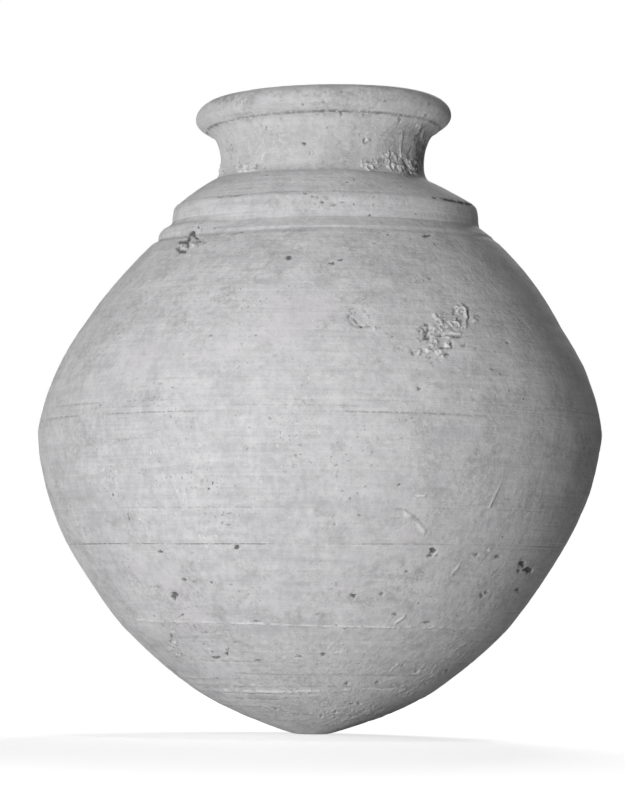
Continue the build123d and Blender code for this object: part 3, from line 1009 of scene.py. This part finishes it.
def worn_face(crisp, worn, start, end):
    """A turned face that goes over from a crisp outline to a worn one as the sine of the turn round
    the axis goes from start to end. The worn outline is first divided into as many points."""
    t = np.linspace(0, 1, len(crisp))
    worn = np.stack([np.interp(t, np.linspace(0, 1, len(worn)), column) for column in worn.T], 1)
    skin = face(crisp, BAND_STEP)
    rows = picked(np.array((0, len(crisp) - 1)), BAND_STEP, extra=())
    radius = np.hypot(skin.places[..., 0], skin.places[..., 1])
    share = smooth_step((skin.places[..., 0] / radius - start) / (end - start))
    change = (worn - crisp)[rows][:, None] * share[..., None]
    skin.places[..., :2] *= (1 + change[..., 0] / radius)[..., None]
    skin.places[..., 2] += change[..., 1]
    skin.look()
    return skin


lower_outline, _ = curved((wall_outline[-1], LOWER_CREST, LOWER_SHELF, ROOT), LOWER_BULGES)
worn_outline, _ = curved((wall_outline[-1], WORN_FLARE, WORN_FACE, ROOT), WORN_BULGES)
crisp_lower = softened(lower_outline, CRISP_EASE)
lower_skin = worn_face(crisp_lower, softened(worn_outline, WORN_LOWER_EASE), *LOWER_WORN)
lower_skin.wheel_marks()
pitted(lower_skin, CHIP_PITS)
scratched(lower_skin, CHIP_LINES, 380)
lower_skin.turning_line(WORN_LINE_HEIGHT, 1.0 * MM, 0.15 * MM, 0.25, 0, 62)
lower_skin.mark(EVERYWHERE, 0, soiled(lower_skin, BAND_SOIL, 51))
lower_skin.raised[0] = wall.raised[-1]
lower_face = lower_skin.pressed()


def cap_seat_row(share):
    """A row of places on the cap, at a share of the way from its foot to the neck's seat."""
    at = share * (len(cap_over) - 1)
    low = min(int(at), len(cap_over) - 2)
    return cap_over[low] * (1 - at + low) + cap_over[low + 1] * (at - low)


root_seat = cap_seat_row(ROOT_SHARE)
runs = [lower_face, bridged(lower_face[-1], root_seat), bridged(root_seat, lower_face[0], 5)]
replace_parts(ring_piece("clay_lower_moulding", runs, band_clay), "lower_moulding")


# The collar band: the wide upper moulding, an upright face with a rounded edge, and a top that
# slopes in to the neck. A thin scored line runs along its edge, deepest on the right.
COLLAR_HEAD = (143.9 * MM, 493.4 * MM)
COLLAR_EDGE = (138.9 * MM, 500.2 * MM)
NECK_FLARE = (101.8 * MM, 522.3 * MM)
COLLAR_BULGES = (0.4 * MM, 1.4 * MM, 0.9 * MM)
WORN_COLLAR_EASE = 5.5 * MM
COLLAR_WORN = (-0.6, 0.6)
EDGE_LINE_HEIGHT = 500.6 * MM
COLLAR_PITS = (
    (305, 193.5, 3.4, 1.4, 0.8),
    (313, 196, 3, 1.4, 0.7),
    (322, 202.5, 2.4, 1.8, 1.1),
    (333, 205, 3.4, 1.8, 0.8),
    (342, 202, 3, 1.6, 0.6),
    (325, 199, 16, 5, 0.35),
    (334, 216, 3, 1.6, 0.7),
)
COLLAR_LINES = (
    (((424, 196), (440, 198.2), (456, 201.2), (472, 205)), 1.5, 0.7, 0.9, 0),
    (((217, 197), (228, 195.6), (240, 194.6)), 1.3, 0.2, 0.4, 0),
    (((345, 192), (380, 191.2), (415, 193.6)), 1.2, 0.1, 0.25, 0),
)

collar_outline, _ = curved((ROOT, COLLAR_HEAD, COLLAR_EDGE, NECK_FLARE), COLLAR_BULGES)
crisp_collar = softened(collar_outline, CRISP_EASE)
collar_skin = worn_face(crisp_collar, softened(collar_outline, WORN_COLLAR_EASE), *COLLAR_WORN)
collar_skin.wheel_marks()
pitted(collar_skin, COLLAR_PITS)
collar_skin.turning_line(EDGE_LINE_HEIGHT, 1.0 * MM, 0.25 * MM, 0.32, 0, 61)
scratched(collar_skin, COLLAR_LINES, 620)
collar_skin.mark(EVERYWHERE, 0, soiled(collar_skin, BAND_SOIL, 53))
collar_skin.raised[0] = lower_skin.raised[-1]
collar_face = collar_skin.pressed()
cap_seat = cap_seat_row(1)
runs = [
    collar_face,
    bridged(collar_face[-1], cap_seat),
    bridged(cap_seat, root_seat, 5),
    bridged(root_seat, collar_face[0]),
]
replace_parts(ring_piece("clay_collar_band", runs, band_clay), "collar_band")


# The neck: thrown on the shoulder cap, hollow-sided, with its foot smeared out on the collar.
# Lime and drips of slip cling to its foot, most of them on the right.
NECK_WAIST = (97.0 * MM, 531.0 * MM)
NECK_SHOULDER = (101.2 * MM, 562.5 * MM)
NECK_TOP = (110.4 * MM, 571.2 * MM)
NECK_BULGES = (-0.8 * MM, -2.4 * MM, -1.2 * MM)
NECK_EASE = 3 * MM
NECK_LIME = (0.7, 3 * MM)
NECK_INNER_TOP = (THROAT_RADIUS, 576.5 * MM)
THROAT_STEP = 2 * MM
NECK_SOIL = 0.24
THROAT_DUST = 0.08
# Painted shade in the groove under the rim, laid in the dirt share of the neck's last rows
RIM_GROOVE_SHADE = (0.14, 0.27, 0.38, 0.45)
NECK_DEEP = (0.5, 0.497, 0.505, 1)
NECK_BLUSH = (0.65, 0.635, 0.645, 1)
NECK_CRUSTS = (
    (245, 168, 9, 5, 1.3),
    (243, 172.5, 4.5, 2.4, 1.2),
    (253, 166.5, 5, 3.5, 1),
    (263, 156, 1.6, 4, 0.4),
    (222.5, 170, 3, 5, 1.3),
    (367, 164, 6, 4, 1.3),
    (379, 161, 7, 4.5, 1.5),
    (371, 168.5, 8, 3.5, 1.3),
    (389, 157, 7, 4.5, 1.4),
    (391, 166, 6, 5, 1.4),
    (400, 169, 5, 5, 1.4),
    (398, 154, 6, 4, 1),
    (411, 166, 6, 8, 1.3),
    (367.8, 140.8, 2.4, 3.2, 1.9),
    (419, 125, 3.4, 3, 0.8),
    (422, 134, 2.6, 5, 0.6),
    (309, 153, 4, 2, 0.3),
)
NECK_PITS = (
    (304, 143.5, 2.6, 2.2, 1.4),
    (365, 141, 2, 3.5, 1),
    (341.8, 114, 1.8, 3, 1.2),
    (364, 116, 1.4, 2.4, 0.9),
    (400, 120, 1.6, 3, 1),
    (247, 121.5, 1.8, 1.6, 0.9),
    (257, 165, 1.5, 3, 1.3),
)
# Stains, and in the last two painted shade on the neck's right side, which turns from the light: column,
# row, half width and half height in pixels, and dirt
NECK_STAINS_AND_SHADE = ((268, 142, 32, 17, 0.18), (398, 136, 22, 18, 0.24), (420, 150, 8, 24, 0.42))
NECK_LINES = (
    (((265, 152), (262, 159), (259, 163)), 1.8, -0.6, 0, 0.5),
    (((407, 159), (413, 168), (417, 177)), 1.8, -1.1, 0, 0.5),
    (((403, 160), (408, 169), (411, 177)), 1.5, 0.4, 0.6, 0),
    (((412, 146), (408, 154), (410, 162)), 1.5, 0.4, 0.5, 0),
    (((402, 133), (401, 150)), 1.8, -0.5, 0, 0.4),
)


def stained_and_shaded(skin, stains, seed):
    """Gives a face the stains of a table, some of them painted shade: dirt without a hollow."""
    for *oval, dirt in stains:
        skin.pit(skin.spot(*oval, RAGGED_PIT, seed), 0, dirt)


neck_clay = clay("neck_clay", NECK_DEEP, NECK_BLUSH, 0.8)
neck_outline, _ = curved((NECK_FLARE, NECK_WAIST, NECK_SHOULDER, NECK_TOP), NECK_BULGES)
neck_skin = face(softened(neck_outline, NECK_EASE), BAND_STEP)
neck_skin.look()
neck_skin.wheel_marks()
pitted(neck_skin, NECK_PITS)
crusted(neck_skin, NECK_CRUSTS, *NECK_LIME, 600)
scratched(neck_skin, NECK_LINES, 650)
neck_skin.raised[0] = collar_skin.raised[-1]
# Stains, and painted shade on the neck's right side
stained_and_shaded(neck_skin, NECK_STAINS_AND_SHADE, 640)
neck_skin.mark(EVERYWHERE, 0, soiled(neck_skin, NECK_SOIL, 54))
# Painted shade along the groove under the rim, uneven along its length
groove_rows = slice(-len(RIM_GROOVE_SHADE), None)
rim_groove_shade_fade = 0.9 + 0.3 * noise(neck_skin.places[groove_rows], 14 * MM, 55)
rim_groove_shade = np.array(RIM_GROOVE_SHADE)[:, None] * rim_groove_shade_fade
neck_skin.mark(groove_rows, 0, rim_groove_shade)
neck_face = neck_skin.pressed()
throat_skin = face(bowed(CAP_INNER, NECK_INNER_TOP, 0), THROAT_STEP, inward=True)
throat_skin.wheel_marks(0.8)
throat_skin.raised[0] = cap_inside.raised[-1]
throat_skin.dirt += THROAT_DUST
throat = throat_skin.pressed()
runs = [
    neck_face,
    bridged(neck_face[-1], throat[-1]),
    throat[::-1],
    bridged(throat[0], cap_seat),
    bridged(cap_seat, neck_face[0]),
]
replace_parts(ring_piece("clay_neck", runs, neck_clay), "neck")


# The rim: a thick oval roll of clay folded over the neck's top and smoothed with a wet hand, with
# an eased edge into the throat.
ROLL_CENTRE = (98.0 * MM, 583.7 * MM)
ROLL_HALF_WIDTH = 23.3 * MM
ROLL_LOWER_HEIGHT = 13.6 * MM
ROLL_UPPER_HEIGHT = 16.6 * MM
ROLL_LENGTH = 70 * MM
THROAT_EDGE = (THROAT_RADIUS, 588.8 * MM)
LIP_BULGE = 3.6 * MM
RIM_EASE = 3 * MM
RIM_SOIL = 0.22
RIM_PITS = (
    (426.5, 115.5, 1.8, 2, 1.0),
    (305, 95, 6, 2, 0.4),
    (350, 92, 14, 2.5, 0.3),
    (236, 103, 7, 2, 0.4),
)
RIM_STAINS = (
    (224, 99, 24, 6, 0.3),
    (272, 93, 24, 3.5, 0.2),
    (299.5, 91, 5, 2.2, 0.28),
    (328, 91.5, 6, 2.2, 0.28),
    (341, 92, 4, 2.4, 0.36),
    (353, 91.5, 6, 2.2, 0.28),
    (395, 98, 25, 6, 0.2),
)
# Crumbs of lime on the rim: their columns and rows, half width and half height, and their rise
RIM_LIME = ((241.5, 103), (281, 99), (429, 104), (302, 105), (323, 103), (384, 101))
RIM_CRUMB = (1.8, 1.6)
RIM_CRUMB_RISE = 0.5 * MM

foot_angle = -math.acos((NECK_TOP[0] - ROLL_CENTRE[0]) / ROLL_HALF_WIDTH)
angle = np.linspace(foot_angle, math.pi / 2, round(ROLL_LENGTH / FINE_STEP))
reach = np.where(angle < 0, ROLL_LOWER_HEIGHT, ROLL_UPPER_HEIGHT)
roll = np.stack([ROLL_HALF_WIDTH * np.cos(angle), reach * np.sin(angle)], 1) + ROLL_CENTRE
roll[0] = NECK_TOP
lip = bowed(roll[-1], THROAT_EDGE, LIP_BULGE)
rim_outline, rim_corners = joined([roll, lip, bowed(THROAT_EDGE, NECK_INNER_TOP, 0)])
rim_outline = softened(rim_outline, RIM_EASE)
rim_normals = outward_of(rim_outline)
rim_normals[:4] = (1, 0)
rim_normals[-END_STEPS:] = (-1, 0)
rim_rows = picked(rim_corners[[0, -1]], BAND_STEP, extra=())
rim_skin = Skin(rim_outline[rim_rows], rim_normals[rim_rows])
rim_skin.look()
rim_skin.wheel_marks()
pitted(rim_skin, RIM_PITS)
for number, place in enumerate(RIM_LIME):
    spot = rim_skin.spot(*place, *RIM_CRUMB, RAGGED_PIT, 74 + number)
    rim_skin.crust(spot, RIM_CRUMB_RISE, 1.0, 2 * MM, 84 + number)
rim_skin.raised[0] = neck_skin.raised[-1]
rim_skin.raised[-1] = throat_skin.raised[-1]
stained_and_shaded(rim_skin, RIM_STAINS, 72)
rim_skin.mark(EVERYWHERE, 0, soiled(rim_skin, RIM_SOIL, 54))
# The groove's painted shade, mirrored, on the rim's first rows
rim_skin.mark(slice(3), 0, rim_groove_shade[:0:-1])
rim_face = rim_skin.pressed()
runs = [rim_face, bridged(rim_face[-1], rim_face[0], 4)]
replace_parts(ring_piece("clay_rim_roll", runs, neck_clay), "rim_roll")


# The seam coils: soft ropes of clay pressed with the fingers along the inside of the three joins
# that had to carry the next drum while it was still damp. Each is named here with the drum below.
COILS = {
    "lower_seam_coil": "lower_drum",
    "belly_seam_coil": "lower_belly_drum",
    "shoulder_seam_coil": "upper_belly_drum",
}
COIL_PROUD = 6 * MM
COIL_REACH = 17 * MM
COIL_STEP = 2.5 * MM
FINGER_PITCH = 26 * MM
FINGER_DEPTH = 1.1 * MM
COIL_LUMPS = 0.8 * MM
COIL_DUST = 0.1
COIL_PALE = (0.58, 0.57, 0.58, 1)
COIL_DEEP = (0.42, 0.417, 0.43, 1)
COIL_BLUSH = (0.56, 0.53, 0.54, 1)

coil_clay = clay("coil_clay", COIL_DEEP, COIL_BLUSH, 0.5, COIL_PALE)
half = round(COIL_REACH / FINE_STEP)
seat_rows = picked(np.array((0, 2 * half)), COIL_STEP, extra=())
crown = (1 - np.linspace(-1, 1, 2 * half + 1)[seat_rows] ** 2)[:, None]
for name, drum in COILS.items():
    middle = inner_corners[drum_names.index(drum) + 1]
    fine_rows = slice(middle - half, middle + half + 1)
    seat_outline = inner_outline[fine_rows]
    coil_normals = -outward_of(inner_outline)[fine_rows]
    seat, coil = (Skin(seat_outline[seat_rows], coil_normals[seat_rows]) for _ in range(2))
    finger_ridges(seat)
    finger_ridges(coil)
    turns = np.arctan2(coil.places[..., 0], -coil.places[..., 1])
    dabs = np.cos(turns * round(2 * math.pi * seat_outline[half, 0] / FINGER_PITCH))
    lumps = noise(coil.places, 20 * MM, 81)
    coil.raised += crown * (COIL_PROUD + FINGER_DEPTH * dabs + COIL_LUMPS * lumps)
    seat.dirt += INNER_DUST
    coil.dirt += COIL_DUST
    runs = [seat.pressed(), coil.pressed()[::-1]]
    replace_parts(ring_piece("clay_" + name, runs, coil_clay), name)


# The floor: one wide pale sheet, which takes the jar's shadow and goes over to the sky's white far
# from the jar. It throws back on the jar only what paper on a dark studio floor does.
SHEET_HALF_WIDTH = 60.0
SHEET_COLOUR = (0.8, 0.8, 0.8, 1)
SHEET_GLOW = 0.68
SHEET_BOUNCE = (0.42, 0.42, 0.42, 1)
FADE_START = 0.5
FADE_END = 2.6
WHITE = (1, 1, 1, 1)

sheet_sides = ((-1, -1), (1, -1), (1, 1), (-1, 1))
sheet_corners = [(x * SHEET_HALF_WIDTH, y * SHEET_HALF_WIDTH, 0) for x, y in sheet_sides]
sheet_mesh = bpy.data.meshes.new("floor_sheet")
sheet_mesh.from_pydata(sheet_corners, [], [(0, 1, 2, 3)])
sheet = bpy.data.objects.new("floor_sheet", sheet_mesh)
bpy.context.scene.collection.objects.link(sheet)

paper = bpy.data.materials.new("floor_paper")
paper.use_nodes = True
tree = paper.node_tree
tree.nodes.clear()
rays = node(tree, "ShaderNodeLightPath").outputs
place = node(tree, "ShaderNodeTexCoord").outputs["Object"]
distance = node(tree, "ShaderNodeVectorMath", {0: place}, operation="LENGTH").outputs["Value"]
sockets = {"Value": distance, "From Min": FADE_START, "From Max": FADE_END}
faded = node(tree, "ShaderNodeMapRange", sockets, interpolation_type="SMOOTHSTEP").outputs["Result"]
shown = maths(tree, "MAXIMUM", rays["Is Camera Ray"], rays["Is Glossy Ray"])
surface = node(tree, "ShaderNodeBsdfDiffuse", {"Color": SHEET_COLOUR}).outputs[0]
bounce = node(tree, "ShaderNodeBsdfDiffuse", {"Color": SHEET_BOUNCE}).outputs[0]
glow = node(tree, "ShaderNodeEmission", {"Color": WHITE, "Strength": SHEET_GLOW}).outputs[0]
white = node(tree, "ShaderNodeEmission", {"Color": WHITE, "Strength": 1.0}).outputs[0]
glowing = node(tree, "ShaderNodeAddShader", {0: surface, 1: glow}).outputs[0]
seen = node(tree, "ShaderNodeMixShader", {0: faded, 1: glowing, 2: white}).outputs[0]
sheet_look = node(tree, "ShaderNodeMixShader", {0: shown, 1: bounce, 2: seen}).outputs[0]
node(tree, "ShaderNodeOutputMaterial", {"Surface": sheet_look})
sheet_mesh.materials.append(paper)


# The light: a soft lamp low on the left of the camera, weaker ones near the jar and above it, two
# behind it, and a dim even sky, which is white to the camera alone. All lamps shine at one place.
LIT_PLACE = Vector((0, 0, 0.28))
SKY_LIGHT = 0.05
# Each lamp's place, width, height and power in watts
LAMPS = {
    "key_lamp": ((-1.66, -3.19, 0.12), 0.8, 0.36, 66),
    "near_lamp": ((-0.4, -1.75, 0.07), 0.4, 0.2, 13.8),
    "top_lamp": ((0.45, -0.6, 2.7), 0.6, 0.6, 8.5),
    "right_back_lamp": ((0.4, 3.2, 2.0), 1.0, 0.8, 80),
    "left_back_lamp": ((-1.7, 2.95, 0.9), 1.0, 0.8, 18),
}

for name, (place, width, height, power) in LAMPS.items():
    light = bpy.data.lights.new(name, "AREA")
    light.shape = "RECTANGLE"
    light.size = width
    light.size_y = height
    light.energy = power
    lamp = bpy.data.objects.new(name, light)
    lamp.location = place
    lamp.rotation_mode = "QUATERNION"
    lamp.rotation_quaternion = (LIT_PLACE - Vector(place)).to_track_quat("-Z", "Y")
    lamp.visible_camera = False
    bpy.context.scene.collection.objects.link(lamp)

world = bpy.data.worlds.new("studio")
bpy.context.scene.world = world
world.use_nodes = True
tree = world.node_tree
tree.nodes.clear()
rays = node(tree, "ShaderNodeLightPath").outputs
dim_sky = node(tree, "ShaderNodeBackground", {"Color": WHITE, "Strength": SKY_LIGHT}).outputs[0]
white_sky = node(tree, "ShaderNodeBackground", {"Color": WHITE, "Strength": 1.0}).outputs[0]
sky = node(tree, "ShaderNodeMixShader", {0: rays["Is Camera Ray"], 1: dim_sky, 2: white_sky}).outputs[0]
node(tree, "ShaderNodeOutputWorld", {"Surface": sky})
bpy.context.scene.view_settings.view_transform = "Standard"
